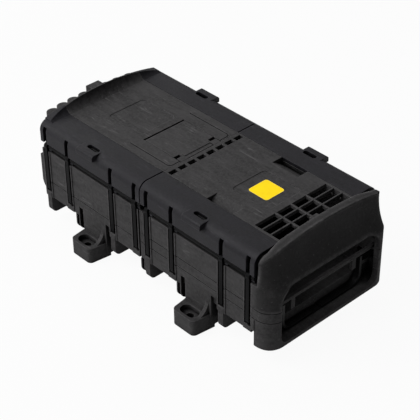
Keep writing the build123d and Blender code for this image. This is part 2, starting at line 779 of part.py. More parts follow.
# Near cover: vents, finger pockets, label field and grille, in one piece with the upper hood
with BuildPart() as cover_near:
    lip_slope = (near_lip_rise - near_lip_rear_rise) / (brow_crest - hood_start)
    for offset in (hood_start, near_reach):
        with BuildSketch(Plane.YZ.offset(seam_x + offset)):
            hood_section(near_lip_rear_rise + lip_slope * (offset - hood_start))
    loft(ruled=True)
    span_box((seam_x + cheek_start, seam_x + hood_start + overlap), (-hood_half_width, hood_half_width),
             (spacer_top, panel_top))
    add(nose.part, mode=Mode.INTERSECT)
    # Rear edge that stands back from the strips on the shoulders
    with BuildSketch(Plane.XY.offset(panel_top)):
        for side in (-1, 1):
            with BuildLine():
                Polyline((seam_x + cheek_start - overlap, side * cover_half_width),
                         (seam_x + hood_start, side * cover_half_width),
                         (seam_x + hood_side_start, side * (hood_half_width - hood_shoulder)),
                         (seam_x + hood_side_start, side * (hood_half_width + overlap)),
                         (seam_x + cheek_start - overlap, side * (hood_half_width + overlap)), close=True)
            make_face()
    extrude(amount=open_height, mode=Mode.SUBTRACT)
    # Hollow of the hood
    hood_inner = hood_half_width - hood_wall
    span_box((seam_x + cheek_start - overlap, seam_x + brow_crest - brow_wall), (-hood_inner, hood_inner),
             (0, cover_underside - overlap), mode=Mode.SUBTRACT)
    span_box((seam_x + cheek_start - overlap, seam_x + near_reach - hood_wall), (-hood_inner, hood_inner),
             (0, mouth_top), mode=Mode.SUBTRACT)
    with BuildSketch(Plane.YZ.offset(seam_x + near_reach - hood_corner)):
        mouth_outline()
    extrude(amount=hood_corner + overlap, mode=Mode.SUBTRACT)
    # Panel and flanges
    with BuildSketch(Plane.YZ.offset(seam_x + slip_gap)):
        cover_profile()
    extrude(amount=hood_side_start - slip_gap + overlap)
    with Locations(*[(seam_x + vent_offset, (i - (vent_count - 1) / 2) * vent_pitch, deck_height)
                     for i in range(vent_count)]):
        Box(vent_length, vent_width, 4 * cover_wall, mode=Mode.SUBTRACT)
    pocket_inner = cover_half_width - pocket_width
    side_blocks([seam_x + pocket_offset], pocket_length, (pocket_inner, cover_half_width),
                (deck_height - pocket_depth - pocket_floor, cover_underside + overlap))
    with BuildSketch(Plane.YZ.offset(seam_x + pocket_offset - pocket_length / 2)):
        for side in (-1, 1):
            with BuildLine():
                Polyline((side * cover_half_width, deck_height - pocket_depth), (side * cover_half_width, deck_height),
                         (side * pocket_inner, deck_height), close=True)
            make_face()
    extrude(amount=pocket_length, mode=Mode.SUBTRACT)
    with BuildSketch(Plane.XY.offset(deck_height)):
        with Locations((seam_x + label_offset, 0)):
            RectangleRounded(label_length, 2 * label_half_width, field_corner)
    extrude(amount=-label_depth, mode=Mode.SUBTRACT)
    row_x = seam_x + grille_offset
    for row in grille_rows:
        column_y = -sum(grille_columns) / 2 - grille_column_bar * (len(grille_columns) - 1) / 2
        for column in grille_columns:
            with Locations((row_x + row / 2, column_y + column / 2, deck_height)):
                Box(row, column, 4 * cover_wall, mode=Mode.SUBTRACT)
            column_y += column + grille_column_bar
        row_x += row + grille_row_bar
    span_box((seam_x + hood_start - grille_tab_length, seam_x + hood_start + overlap),
             (-grille_tab_width / 2, grille_tab_width / 2), (cover_underside, deck_height + grille_tab_rise))
export(cover_near, "cover_near")


def side_strip(x_span, station_list, loop_x, bulge_x, gusset_list, with_lip):
    """One strip for the +Y side: flange, shoulder, notched skirt, knuckles and pull loop."""
    shoulder_y = strip_half_width - shoulder_radius
    shoulder_z = deck_height - shoulder_radius
    inner_face = strip_half_width - strip_wall
    under = deck_height - strip_wall
    with BuildPart() as strip:
        with BuildSketch(Plane.YZ.offset(x_span[0])):
            with BuildLine():
                Line((strip_inner_edge, deck_height), (shoulder_y, deck_height))
                CenterArc((shoulder_y, shoulder_z), shoulder_radius, 0, 90)
                Line((strip_half_width, shoulder_z), (strip_half_width, skirt_bottom))
                Line((strip_half_width, skirt_bottom), (inner_face, skirt_bottom))
                Line((inner_face, skirt_bottom), (inner_face, shoulder_z))
                CenterArc((shoulder_y, shoulder_z), shoulder_radius - strip_wall, 0, 90)
                Line((shoulder_y, under), (strip_inner_edge, under))
                Line((strip_inner_edge, under), (strip_inner_edge, deck_height))
            make_face()
        extrude(amount=x_span[1] - x_span[0])
        # Outward bulge around the pull slot
        with BuildSketch(Plane.YZ.offset(bulge_x - loop_length / 2)):
            bulge_y = strip_half_width + loop_rise
            root_radius = shoulder_radius - strip_wall + overlap
            with BuildLine():
                Polyline((shoulder_y, deck_height), (bulge_y, deck_height), (bulge_y, deck_height - loop_drop),
                         (shoulder_y + root_radius, deck_height - loop_drop),
                         (shoulder_y + root_radius, shoulder_z))
                CenterArc((shoulder_y, shoulder_z), root_radius, 0, 90)
                Line((shoulder_y, shoulder_z + root_radius), (shoulder_y, deck_height))
            make_face()
            fillet([v for v in vertices() if v.X > bulge_y - 0.1 and v.Y > deck_height - 0.1], loop_edge)
        extrude(amount=loop_length)
        with BuildSketch(Plane.XY.offset(shoulder_z)):
            with Locations((loop_x, loop_slot_gauge)):
                SlotOverall(loop_slot_length, loop_slot_width)
        extrude(amount=open_height, mode=Mode.SUBTRACT)
        # Gussets inside the corner
        for x in gusset_list:
            with BuildSketch(Plane.YZ.offset(x)):
                with BuildLine():
                    Polyline((inner_face + overlap, under - gusset_height), (inner_face + overlap, under + overlap),
                             (inner_face - gusset_reach, under + overlap), (inner_face - gusset_reach, under),
                             (inner_face, under - gusset_height), close=True)
                make_face()
                with Locations((shoulder_y, shoulder_z)):
                    Circle(shoulder_radius - overlap, mode=Mode.INTERSECT)
            extrude(amount=gusset_width)
        # Knuckles hooked round the rod from the inside, and notches that clear the posts
        knuckles = [x + knuckle_shift for x in station_list]
        neck_y = rod_gauge - knuckle_radius + knuckle_neck_wall / 2
        with Locations(*[(x, rod_gauge, rod_height) for x in knuckles]):
            Cylinder(knuckle_radius, knuckle_width, rotation=(0, 90, 0))
        with Locations(*[(x, neck_y, (rod_height + skirt_bottom + knuckle_neck) / 2) for x in knuckles]):
            Box(knuckle_width, knuckle_neck_wall, skirt_bottom + knuckle_neck - rod_height)
        with Locations(*[(x, rod_gauge + knuckle_open, skirt_bottom) for x in knuckles]):
            Box(knuckle_width, knuckle_radius, 2 * knuckle_radius + knuckle_open,
                align=(Align.CENTER, Align.MIN, Align.MAX), mode=Mode.SUBTRACT)
        with Locations(*[(x, strip_half_width, skirt_bottom - overlap) for x in station_list]):
            Box(notch_width, 2 * notch_depth, notch_top - skirt_bottom + overlap,
                align=(Align.CENTER, Align.CENTER, Align.MIN), mode=Mode.SUBTRACT)
        with Locations((sum(x_span) / 2, rod_gauge, rod_height)):
            Cylinder(rod_radius + knuckle_clearance, x_span[1] - x_span[0] + overlap, rotation=(0, 90, 0),
                     mode=Mode.SUBTRACT)
        if with_lip:
            far_lip(far_lip_reach, both=False)
            span_box((far_x - overlap, far_x + far_lip_span + overlap), (-overlap, strip_inner_edge), (0, open_height),
                     mode=Mode.SUBTRACT)
            far_arch_trim()
    return strip


# Four side strips: the back ones are built on +Y, the front ones are mirrored to -Y
strip_spans = {
    "far": (far_x, seam_x - strip_seam_gap),
    "near": (seam_x + strip_seam_gap, seam_x + hood_start - joint_gap),
}
for module, direction, module_stations in (("far", -1, far_stations), ("near", 1, near_stations)):
    gussets = [seam_x + direction * offset for offset in gusset_offsets]
    slot_x = seam_x + direction * loop_offset
    plain = (strip_spans[module], module_stations, slot_x)
    strip_back = side_strip(*plain, slot_x + loop_shift, gussets, module == "far")
    export(strip_back, f"strip_back_{module}")
    strip_source = side_strip(*plain, slot_x - loop_shift, gussets, module == "far")
    with BuildPart() as strip_front:
        mirror(strip_source.part, about=Plane.XZ)
    export(strip_front, f"strip_front_{module}")

# Hinge rods
for side, side_name in ((-1, "front"), (1, "back")):
    for module in ("far", "near"):
        rod_length = rod_stops[module] - rod_starts[module]
        with BuildPart() as rod:
            with Locations((rod_starts[module] + rod_length / 2, side * rod_gauge, rod_height)):
                Cylinder(rod_radius, rod_length, rotation=(0, 90, 0))
            chamfer(rod.edges(), rod_radius / 4)
        export(rod, f"rod_{side_name}_{module}")

# Clamp posts: each has an eye on the rod and a hook in its socket in the base
for side, side_name in ((-1, "front"), (1, "back")):
    for number, x in enumerate(stations, start=1):
        with BuildPart() as post:
            with BuildSketch(Plane.YZ.offset(x - post_width / 2)):
                post_inner = post_face - post_depth
                with BuildLine():
                    Polyline(
                        *[(side * y, z) for y, z in (
                            (post_face, post_foot), (post_face, rod_height), (post_inner, rod_height),
                            (post_inner, post_foot + post_hook), (post_inner - post_hook_reach, post_foot + post_hook),
                            (post_inner - post_hook_reach, post_foot),
                        )],
                        close=True,
                    )
                make_face()
                fillet([v for v in vertices() if v.Y < post_foot + 0.1 and abs(v.X) > post_face - 0.1],
                       post_edge_radius)
                with Locations((side * rod_gauge, rod_height)):
                    Circle(post_eye_radius)
                    Circle(rod_radius + eye_clearance, mode=Mode.SUBTRACT)
            extrude(amount=post_width)
        export(post, f"post_{side_name}_{number}")

# Far end piece: apron, row of eight hollow flutes, plug for the end window and pull tab
with BuildPart() as end_piece:
    with BuildSketch(Plane.XZ):
        with BuildLine():
            apron_x = far_x - apron_reach
            Line((far_x, apron_top), (apron_x, apron_top))
            Line((apron_x, apron_top), (apron_x, apron_curl))
            RadiusArc((apron_x, apron_curl), (far_x, apron_bottom), -apron_radius)
            Line((far_x, apron_bottom), (far_x, apron_top))
        make_face()
    extrude(amount=apron_half_width, both=True)
    flute_end = flute_count * flute_pitch / 2
    flute_spots = []
    for i in range(flute_count):
        y = (i - (flute_count - 1) / 2) * flute_pitch
        share = (abs(y) - flute_pitch / 2) / (flute_end - flute_pitch)
        flute_spots.append((seam_x - far_reach + flute_pitch / 2 + flute_bow * share ** 2, y))
    with BuildSketch(Plane.XY.offset(apron_top)):
        with BuildLine():
            Polyline((far_x, -flute_end), (seam_x - flute_offset, -flute_end), *flute_spots,
                     (seam_x - flute_offset, flute_end), (far_x, flute_end), close=True)
        make_face()
        with Locations(*flute_spots):
            Circle(flute_pitch / 2)
    extrude(amount=flute_top - apron_top)
    plug_z = (end_window_bottom + slip_gap, end_window_top - slip_gap)
    plug_half_width = end_window_half_width - slip_gap
    span_box((far_x - overlap, far_x + wall), (-plug_half_width, plug_half_width), plug_z)
    with BuildSketch(Plane.XZ):
        with Locations((far_x - joint_gap - tab_length / 2, flute_top - overlap)):
            Rectangle(tab_length, tab_top - flute_top + overlap, align=(Align.CENTER, Align.MIN))
        fillet([v for v in vertices() if v.Y > tab_top - 0.1], tab_edge)
    extrude(amount=tab_half_width, both=True)
    # Hollow behind the flutes, open to the inside of the box
    hollow_z = (apron_top + flute_wall, flute_top - flute_wall)
    span_box((seam_x - flute_offset, far_x + 2 * wall), (flute_wall - flute_end, flute_end - flute_wall),
             hollow_z, mode=Mode.SUBTRACT)
    with Locations(*[(x, y, sum(hollow_z) / 2) for x, y in flute_spots]):
        Cylinder(flute_pitch / 2 - flute_wall, hollow_z[1] - hollow_z[0], mode=Mode.SUBTRACT)
export(end_piece, "end_piece")

# Carrier plate for the cassettes
with BuildPart() as carrier_plate:
    with BuildSketch(Plane.XY.offset(carrier_z)):
        carrier_middle = seam_x + carrier_start + carrier_length / 2
        with Locations((carrier_middle, 0)):
            RectangleRounded(carrier_length, 2 * carrier_half_width, carrier_screw_inset)
        with Locations(*boss_spots):
            Circle(screw_radius, mode=Mode.SUBTRACT)
    extrude(amount=carrier_thickness)
export(carrier_plate, "carrier_plate")


def screw_group(spots, seat_z):
    """Pan head screws standing on one level."""
    for x, y in spots:
        with Locations((x, y, seat_z + screw_head_height / 2)):
            Cylinder(screw_head_radius, screw_head_height)
        with Locations((x, y, seat_z - screw_length / 2 + slip_gap)):
            Cylinder(screw_radius - eye_clearance, screw_length - 2 * slip_gap)


with BuildPart() as carrier_screws:
    screw_group(boss_spots, cassette_z)
export(carrier_screws, "carrier_screws")


def cassette_outline(inset=0.0):
    """Plan of a cassette with large corner radii for the fibre bend."""
    with Locations((cassette_x, 0)):
        RectangleRounded(cassette_length - 2 * inset, 2 * (cassette_half_width - inset), cassette_corner - inset)


# Stack of splice cassettes with a pair of splice holders in each
for level in range(cassette_count):
    floor_z = cassette_z + level * cassette_height
    with BuildPart() as cassette:
        with BuildSketch(Plane.XY.offset(floor_z)):
            cassette_outline()
        extrude(amount=cassette_height)
        with BuildSketch(Plane.XY.offset(floor_z + cassette_floor)):
            cassette_outline(cassette_wall)
        extrude(amount=cassette_height, mode=Mode.SUBTRACT)
        with BuildSketch(Plane.XY.offset(floor_z + cassette_floor)):
            with Locations((cassette_x - hub_offset, 0), (cassette_x + hub_offset, 0)):
                Circle(hub_radius)
                Circle(hub_radius - hub_wall, mode=Mode.SUBTRACT)
        extrude(amount=hub_height)
        entry_x = cassette_x + cassette_length / 2
        for side in (-1, 1):
            y_middle = side * (entry_gauge - entry_width)
            span_box((entry_x - 2 * cassette_wall, entry_x + overlap),
                     (y_middle - entry_width / 2, y_middle + entry_width / 2),
                     (floor_z + cassette_floor, open_height), mode=Mode.SUBTRACT)
    export(cassette, f"cassette_{level + 1}")
    with BuildPart() as splice_holder:
        with BuildSketch(Plane.YZ.offset(cassette_x - holder_length / 2)):
            middles = (-holder_gauge, holder_gauge)
            with Locations(*[(y, floor_z + cassette_floor + holder_height / 2) for y in middles]):
                Rectangle(holder_width, holder_height)
            slot_pitch = holder_width / holder_slots
            slot_z = floor_z + cassette_floor + holder_height - holder_slot_depth / 2
            with Locations(*[(y + (i - (holder_slots - 1) / 2) * slot_pitch, slot_z)
                             for y in middles for i in range(holder_slots)]):
                Rectangle(holder_slot_width, holder_slot_depth, mode=Mode.SUBTRACT)
        extrude(amount=holder_length)
    export(splice_holder, f"splice_holder_{level + 1}")

with BuildPart() as cassette_lid:
    with BuildSketch(Plane.XY.offset(lid_z)):
        cassette_outline()
    extrude(amount=lid_thickness)
export(cassette_lid, "cassette_lid")

# Strap over the stack, hooked under the edges of the carrier plate
with BuildPart() as cassette_strap:
    strap_inner = carrier_half_width + slip_gap
    strap_top = lid_z + lid_thickness
    with BuildSketch(Plane.YZ.offset(cassette_x - strap_width / 2)):
        with BuildLine():
            half = [
                (0, strap_top), (strap_inner, strap_top), (strap_inner, carrier_z - slip_gap),
                (strap_inner - strap_hook, carrier_z - slip_gap),
                (strap_inner - strap_hook, carrier_z - slip_gap - strap_thickness),
                (strap_inner + strap_thickness, carrier_z - slip_gap - strap_thickness),
                (strap_inner + strap_thickness, strap_top + strap_thickness), (0, strap_top + strap_thickness),
            ]
            left = [(-y, z) for y, z in reversed(half[1:-1])]
            Polyline(*half, *left, close=True)
        make_face()
    extrude(amount=strap_width)
export(cassette_strap, "cassette_strap")

# Comb of T-shaped fingers that incoming cables are tied to
with BuildPart() as tie_comb:
    comb_x = seam_x + comb_offset
    span_box((comb_x, comb_x + comb_length), (-comb_half_width, comb_half_width), (tub_top, tub_top + comb_thickness))
    with BuildSketch(Plane.YZ.offset(comb_x)):
        comb_top = tub_top + comb_thickness
        for i in range(comb_fingers):
            y = (i - (comb_fingers - 1) / 2) * comb_finger_pitch
            with Locations((y, comb_top + comb_finger_height / 2)):
                Rectangle(comb_finger_neck, comb_finger_height)
            with Locations((y, comb_top + comb_finger_height - comb_thickness / 2)):
                Rectangle(comb_finger_width, comb_thickness)
    extrude(amount=comb_thickness)
    with Locations(*[(x, y, tub_top) for x, y in comb_spots]):
        Cylinder(screw_radius, 4 * comb_thickness, mode=Mode.SUBTRACT)
export(tie_comb, "tie_comb")

with BuildPart() as comb_screws:
    screw_group(comb_spots, tub_top + comb_thickness)
export(comb_screws, "comb_screws")

# Saddle that lines the mouth where the cables come in
with BuildPart() as cable_saddle:
    with BuildSketch(Plane.YZ.offset(seam_x + saddle_offset)):
        saddle_middle = (mouth_bottom + open_height) / 2
        saddle_inner = saddle_half_width - saddle_wall
        with Locations((0, saddle_middle)):
            RectangleRounded(2 * saddle_half_width, open_height - mouth_bottom, saddle_corner)
            RectangleRounded(2 * saddle_inner, open_height - mouth_bottom - 2 * saddle_wall,
                             saddle_corner - saddle_wall, mode=Mode.SUBTRACT)
        with Locations((0, saddle_top)):
            Rectangle(4 * saddle_half_width, 2 * open_height, align=(Align.CENTER, Align.MIN), mode=Mode.SUBTRACT)
        lug_span = hood_half_width - hood_wall - slip_gap - saddle_inner
        for side in (-1, 1):
            with Locations((side * (saddle_inner + lug_span / 2), base_seam - saddle_lug)):
                Rectangle(lug_span, saddle_lug)
        with Locations((saddle_notch_gauge, mouth_bottom + saddle_wall)):
            Rectangle(saddle_notch_width, saddle_wall, mode=Mode.SUBTRACT)
    extrude(amount=saddle_length)
export(cable_saddle, "cable_saddle")
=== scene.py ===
import math

import bmesh
import bpy
from bpy.props import FloatProperty, FloatVectorProperty, PointerProperty
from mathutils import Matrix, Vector


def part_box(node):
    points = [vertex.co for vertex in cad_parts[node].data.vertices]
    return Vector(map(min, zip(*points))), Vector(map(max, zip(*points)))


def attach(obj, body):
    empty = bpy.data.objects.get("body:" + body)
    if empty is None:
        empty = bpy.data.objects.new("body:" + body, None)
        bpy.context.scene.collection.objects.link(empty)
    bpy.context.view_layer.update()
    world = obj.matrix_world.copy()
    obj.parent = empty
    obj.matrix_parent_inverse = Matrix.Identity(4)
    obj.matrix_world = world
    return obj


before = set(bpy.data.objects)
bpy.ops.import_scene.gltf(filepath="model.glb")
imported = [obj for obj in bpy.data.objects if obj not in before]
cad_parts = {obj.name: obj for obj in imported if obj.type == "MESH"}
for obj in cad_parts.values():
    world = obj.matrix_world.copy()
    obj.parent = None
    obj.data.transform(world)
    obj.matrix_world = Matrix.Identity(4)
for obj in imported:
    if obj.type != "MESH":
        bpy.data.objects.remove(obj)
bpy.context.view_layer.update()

bl_info = {
    "name": "Fibre splice box looks",
    "version": (1, 0, 0),
    "blender": (4, 5, 0),
    "location": "View3D > Sidebar > Splice box",
    "description": "Dresses the packed splice box with moulded plastics, a sticker and a studio",
    "category": "Object",
}

# Widths of the marks on the moulded plastic, in metres
CLOUD_SIZE = 0.02
MOTTLE_SIZE = 0.0022
SMEAR_SIZE = 0.004
STROKE_SIZE = 0.009
PATCH_SIZE = 0.013
SCUFF_SIZE = 0.004
SPECK_SIZE = 0.0016
WAVE_SIZE = 0.012

# Marks drawn out along the surface: their turn in degrees and how many times longer than wide they are
SMEAR_STRETCH = (35.0, 5.0)
STROKE_STRETCH = (-24.0, 14.0)

# Heights of the slow waves in the walls and of the moulded grain, in metres
WAVE_DEPTH = 0.00025
COARSE_GRAIN = 0.00016
MIDDLE_GRAIN = 0.00012
SOFT_GRAIN = 0.0001
SATIN_GRAIN = 0.00008
TRAY_GRAIN = 0.00005
POST_GRAIN = 0.00004
ROD_GRAIN = 0.00002

PAINTED_SHADE_BLACK = (0.0015, 0.0015, 0.0015, 1.0)  # the near-black that the painted shade in the depth of slots and gaps fades to
INNER_CAVITY = 2.5  # inner parts lie deeper, so their slots are searched that much wider for painted shade
BROW_STEP = 0.003  # length over which the brow's rounder edges and painted shade set in

# Lamps: place, target and side of the square, in metres
LAMP_TARGET = (0.0, 0.0, 0.04)
KEY_LAMP = ((-0.7, -1.1, 1.5), LAMP_TARGET, 1.2)
SIDE_LAMP = ((-1.4, 0.5, 0.9), LAMP_TARGET, 0.8)
END_LAMP = ((-0.5, -0.5, 0.3), (-0.07, -0.05, 0.04), 0.35)


class PlasticSettings(bpy.types.PropertyGroup):
    """Colours and texture of the moulded parts."""

    housing_colour: FloatVectorProperty(
        name="Housing", description="Colour of the shells and covers", subtype="COLOR",
        size=3, min=0.0, max=1.0, default=(0.0270, 0.0262, 0.0268))
    strip_colour: FloatVectorProperty(
        name="Side strips", description="Colour of the hinged side strips", subtype="COLOR",
        size=3, min=0.0, max=1.0, default=(0.0092, 0.0088, 0.0106))
    clamp_colour: FloatVectorProperty(
        name="Clamp posts", description="Colour of the clamp posts", subtype="COLOR",
        size=3, min=0.0, max=1.0, default=(0.0030, 0.0030, 0.0034))
    rod_colour: FloatVectorProperty(
        name="Rods", description="Colour of the hinge rods", subtype="COLOR",
        size=3, min=0.0, max=1.0, default=(0.0006, 0.0006, 0.0009))
    inner_colour: FloatVectorProperty(
        name="Inner parts", description="Colour of the saddle, carrier plate and tie comb",
        subtype="COLOR", size=3, min=0.0, max=1.0, default=(0.0030, 0.0030, 0.0032))
    tray_colour: FloatVectorProperty(
        name="Cassettes", description="Colour of the splice cassettes", subtype="COLOR",
        size=3, min=0.0, max=1.0, default=(0.016, 0.016, 0.017))
    holder_colour: FloatVectorProperty(
        name="Splice holders", description="Colour of the soft splice holders", subtype="COLOR",
        size=3, min=0.0, max=1.0, default=(0.09, 0.09, 0.1))
    grain_size: FloatProperty(
        name="Grain", description="Width of one pebble of the moulded grain", subtype="DISTANCE",
        unit="LENGTH", min=0.0001, default=0.0007)
    # Reaches of the painted shade: slots, gaps and grooves within them are darkened towards black
    painted_shade_reach: FloatProperty(
        name="Cavity reach", description="Width of the slots and gaps that go dark", subtype="DISTANCE",
        unit="LENGTH", min=0.001, default=0.03)
    crevice_shade_reach: FloatProperty(
        name="Crevice reach", description="Width of the narrow grooves that go dark", subtype="DISTANCE",
        unit="LENGTH", min=0.001, default=0.006)
    brow_start: FloatProperty(
        name="Brow start", description="Where the hood's brow begins, along the box", subtype="DISTANCE",
        unit="LENGTH", default=0.1065)
    brow_rounding: FloatProperty(
        name="Brow rounding", description="How much wider than elsewhere the brow's edges are rounded",
        min=0.0, default=5.0)
    edge_radius: FloatProperty(
        name="Edge radius", description="Rounding that the mould leaves on every edge",
        subtype="DISTANCE", unit="LENGTH", min=0.0, default=0.0005)


class StickerSettings(bpy.types.PropertyGroup):
    """The plain sticker in the label field of the near cover."""

    width: FloatProperty(
        name="Width", description="Side of the square sticker", subtype="DISTANCE", unit="LENGTH",
        min=0.005, default=0.017)
    corner: FloatProperty(
        name="Corner", description="Corner radius", subtype="DISTANCE", unit="LENGTH",
        min=0.0, default=0.002)
    thickness: FloatProperty(
        name="Thickness", description="Thickness of the film", subtype="DISTANCE", unit="LENGTH",
        min=0.00005, default=0.00015)
    colour: FloatVectorProperty(
        name="Colour", description="Colour of the film", subtype="COLOR", size=3, min=0.0, max=1.0,
        default=(0.93, 0.66, 0.002))


class StageSettings(bpy.types.PropertyGroup):
    """Camera, floor and light."""

    camera_place: FloatVectorProperty(
        name="Camera place", description="Where the camera stands", subtype="TRANSLATION", unit="LENGTH",
        size=3, default=(0.55157, -0.50599, 0.57594))
    camera_turn: FloatVectorProperty(
        name="Camera turn", description="How the camera is turned", subtype="EULER", unit="ROTATION",
        size=3, default=(math.radians(54.037), math.radians(0.387), math.radians(46.732)))
    lens: FloatProperty(
        name="Lens", description="Focal length on a 36 mm sensor",
        subtype="DISTANCE_CAMERA", unit="CAMERA", min=20.0, default=115.35)
    floor_size: FloatProperty(
        name="Floor", description="Side of the floor", subtype="DISTANCE", unit="LENGTH",
        min=1.0, default=12.0)
    floor_colour: FloatVectorProperty(
        name="Floor colour", description="Colour of the floor", subtype="COLOR", size=3,
        min=0.0, max=1.0, default=(0.52, 0.52, 0.52))
    floor_whitening: FloatProperty(
        name="Whitening", description="How much of the floor's look is plain white backdrop",
        subtype="FACTOR", min=0.0, max=1.0, default=0.94)
    sky_strength: FloatProperty(
        name="Sky", description="Strength of the soft light from all round", min=0.0, default=0.86)
    sky_side: FloatVectorProperty(
        name="Sky side", description="Where the soft light is strongest", subtype="DIRECTION",
        size=3, default=(-0.70, -0.45, 0.55))
    sky_dim: FloatProperty(
        name="Sky dim", description="Share of the soft light that is left on the other side",
        subtype="FACTOR", min=0.0, max=1.0, default=0.02)
    key_power: FloatProperty(
        name="Key light", description="Power of the large lamp over the front long side",
        subtype="POWER", unit="POWER", min=0.0, default=26.0)
    side_power: FloatProperty(
        name="Side light", description="Power of the lamp past the far end, on the back side",
        subtype="POWER", unit="POWER", min=0.0, default=4.0)
    end_power: FloatProperty(
        name="End light", description="Power of the small lamp low by the far front corner",
        subtype="POWER", unit="POWER", min=0.0, default=0.9)


class Value:
    """A socket of a shader, on which plain arithmetic adds Math nodes."""

    def __init__(self, graph, socket):
        self.graph = graph
        self.socket = socket

    def _math(self, operation, *values):
        sockets = dict(enumerate(values))
        return self.graph.node("ShaderNodeMath", {"operation": operation}, sockets)[0]

    def __add__(self, other):
        return self._math("ADD", self, other)

    def __radd__(self, other):
        return self._math("ADD", other, self)

    def __sub__(self, other):
        return self._math("SUBTRACT", self, other)

    def __rsub__(self, other):
        return self._math("SUBTRACT", other, self)

    def __mul__(self, other):
        return self._math("MULTIPLY", self, other)

    def __truediv__(self, other):
        return self._math("DIVIDE", self, other)

    def __abs__(self):
        return self._math("ABSOLUTE", self)


class Outputs:
    """The outputs of a node, by number or by name."""

    def __init__(self, graph, node):
        self.graph = graph
        self.node = node

    def __getitem__(self, key):
        return Value(self.graph, self.node.outputs[key])


class Graph:
    """The node tree of a material or of the world."""

    def __init__(self, owner):
        owner.use_nodes = True
        self.owner = owner
        self.tree = owner.node_tree
        self.tree.nodes.clear()

    def node(self, kind, settings=None, sockets=None):
        """Adds a node: its settings first, then the values or links of its sockets."""
        added = self.tree.nodes.new(kind)
        for key, value in (settings or {}).items():
            if key == "stops":
                self._set_stops(added.color_ramp, value)
            else:
                setattr(added, key, value)
        for key, value in (sockets or {}).items():
            if isinstance(value, Value):
                self.tree.links.new(value.socket, added.inputs[key])
            else:
                added.inputs[key].default_value = value
        return Outputs(self, added)

    @staticmethod
    def _set_stops(ramp, stops):
        while len(ramp.elements) < len(stops):
            ramp.elements.new(1.0)
        for element, (place, grey) in zip(ramp.elements, stops):
            element.position = place
            element.color = (grey, grey, grey, 1.0)

    def noise(self, size, detail=2.0, roughness=0.5, stretch=None):
        """Cloudy pattern whose lumps are about one size wide, or drawn out along a turned X axis."""
        place = self.node("ShaderNodeTexCoord")["Object"]
        if stretch is not None:
            turn, length = stretch
            sockets = {"Vector": place, "Rotation": (0.0, 0.0, math.radians(turn)),
                       "Scale": (1.0 / length, 1.0, 1.0)}
            place = self.node("ShaderNodeMapping", {"vector_type": "POINT"}, sockets)[0]
        sockets = {"Vector": place, "Scale": 1.0 / size, "Detail": detail, "Roughness": roughness}
        return self.node("ShaderNodeTexNoise", None, sockets)["Fac"]

    def ramp(self, value, stops):
        """Value remapped by the stops of a ramp."""
        return self.node("ShaderNodeValToRGB", {"stops": stops}, {"Fac": value})[0]

    def mix(self, factor, first, second):
        """Colour between two colours."""
        settings = {"data_type": "RGBA"}
        sockets = {0: factor, 6: _colour(first), 7: _colour(second)}
        return self.node("ShaderNodeMix", settings, sockets)[2]

    def rounded_normal(self, radius):
        """Normal that is smoothed across the edges."""
        return self.node("ShaderNodeBevel", {"samples": 6}, {"Radius": radius})[0]

    def edge_mask(self, radius):
        """1 on the edges, 0 on the flats."""
        flat = self.node("ShaderNodeNewGeometry")["Normal"]
        bent = self.rounded_normal(radius)
        facing = self.node("ShaderNodeVectorMath", {"operation": "DOT_PRODUCT"},
                           {0: flat, 1: bent})["Value"]
        return self.ramp(1 - facing, ((0.01, 0.0), (0.18, 1.0)))

    def bump(self, height, distance, strength=1.0, normal=None):
        """Normal of a surface raised by the height."""
        sockets = {"Height": height, "Distance": distance, "Strength": strength}
        if normal is not None:
            sockets["Normal"] = normal
        return self.node("ShaderNodeBump", None, sockets)[0]

    def greater(self, first, second):
        """The greater of two values."""
        return self.node("ShaderNodeMath", {"operation": "MAXIMUM"}, {0: first, 1: second})[0]

    def hidden(self, reach, stops):
        """How far the surface is shut in by what lies within reach, remapped by the stops of a ramp."""
        open_sky = self.node("ShaderNodeAmbientOcclusion", {"samples": 8}, {"Distance": reach})["AO"]
        return self.ramp(open_sky, stops)

    def along_x(self, start, width):
        """0 up to a place along the object's X axis, 1 past it, with a soft step of the given width."""
        place = self.node("ShaderNodeTexCoord")["Object"]
        return self.ramp((self.node("ShaderNodeSeparateXYZ", None, {0: place})["X"] - start) / width,
                         ((0.0, 0.0), (1.0, 1.0)))

    def principled(self, **sockets):
        """A Principled shader."""
        named = {key.replace("_", " "): value for key, value in sockets.items()}
        return self.node("ShaderNodeBsdfPrincipled", None, named)[0]

    def blend(self, factor, first, second):
        """A shader between two shaders."""
        return self.node("ShaderNodeMixShader", None, {0: factor, 1: first, 2: second})[0]

    def close(self, shader):
        """Ends the graph with its shader."""
        self.node("ShaderNodeOutputMaterial", None, {"Surface": shader})
        return self.owner

    def finish(self, **sockets):
        """Ends the graph with one Principled shader."""
        return self.close(self.principled(**sockets))


def _colour(value):
    """A colour socket's value: colours given as three numbers get their fourth."""
    if isinstance(value, Value):
        return value
    return (*value, 1.0)


def _toned(colour, factor):
    """The colour made lighter or darker by a factor."""
    return tuple(min(1.0, channel * factor) for channel in colour)


